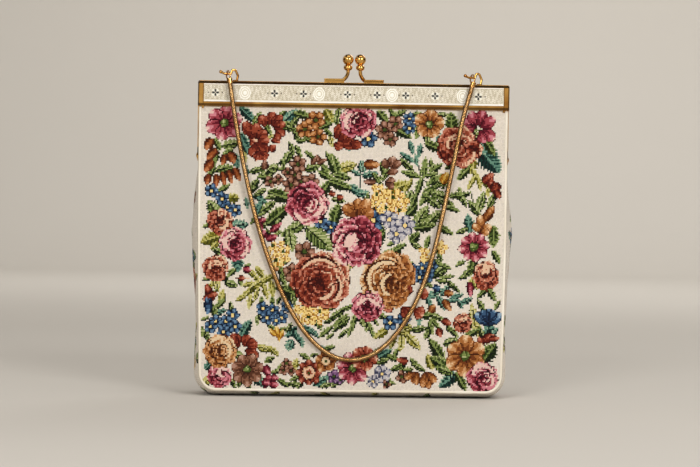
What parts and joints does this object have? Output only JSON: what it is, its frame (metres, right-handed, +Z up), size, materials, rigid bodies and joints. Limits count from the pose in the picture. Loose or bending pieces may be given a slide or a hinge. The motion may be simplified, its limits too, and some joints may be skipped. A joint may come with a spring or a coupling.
{
  "type": "needlepoint purse",
  "caption": "Flowered needlepoint purse on a hinged brass frame with an enamelled band, kiss clasp, lining and snake chain handle",
  "frame": {"origin": "middle of the bag's bottom, on the surface that it stands on", "axes": "+X along the frame to the right seen from the front, -Y towards the front, +Z up"},
  "size_m": [0.2022, 0.0479, 0.2153],
  "materials": {
    "amber_wool": "wool petit point, matt",
    "blue_wool": "wool petit point, matt",
    "chain_brass": "polished, warm gilt",
    "gold_wool": "wool petit point, matt",
    "ivory_enamel": "ivory enamel over engraved metal, semi-gloss",
    "leaf_wool": "wool petit point, matt",
    "lining_satin": "ivory satin, soft sheen",
    "mauve_wool": "wool petit point, matt",
    "needlepoint": "wool petit point, matt",
    "needlepoint_side": "wool petit point, matt",
    "piping_satin": "ivory satin over cord, soft sheen",
    "polished_brass": "polished, lightly tarnished in the corners",
    "rose_wool": "wool petit point, matt"
  },
  "bodies": {
    "bag": {"back_panel": "needlepoint", "back_piping": "piping_satin", "chain_hook_left": "polished_brass", "chain_hook_right": "polished_brass", "front_amber_flowers": "amber_wool", "front_band": "ivory_enamel", "front_blue_flowers": "blue_wool", "front_clasp_knob": "polished_brass", "front_frame": "polished_brass", "front_gold_flowers": "gold_wool", "front_leaves": "leaf_wool", "front_mauve_flowers": "mauve_wool", "front_panel": "needlepoint", "front_piping": "piping_satin", "front_roses": "rose_wool", "gusset": "needlepoint_side", "hinge_pin_left": "polished_brass", "hinge_pin_right": "polished_brass", "lining": "lining_satin", "slip_pocket": "lining_satin"},
    "back_half": {"back_band": "ivory_enamel", "back_clasp_knob": "polished_brass", "back_frame": "polished_brass", "back_panel_top": "needlepoint", "back_piping_top": "piping_satin", "lining_back_top": "lining_satin"},
    "chain": {"snake_chain": "chain_brass", "chain_loop_left": "chain_brass", "chain_loop_right": "chain_brass"}
  },
  "joints": [
    {"name": "frame_hinge", "type": "hinge", "parent": "bag", "child": "back_half", "pos_m": [0, 0, 0.15], "axis": [-1, 0, 0], "range_deg": [0, 60]},
    {"name": "chain_swing", "type": "hinge", "parent": "bag", "child": "chain", "pos_m": [0, -0.00621, 0.2013], "axis": [-1, 0, 0], "range_deg": [0, 170]}
  ]
}
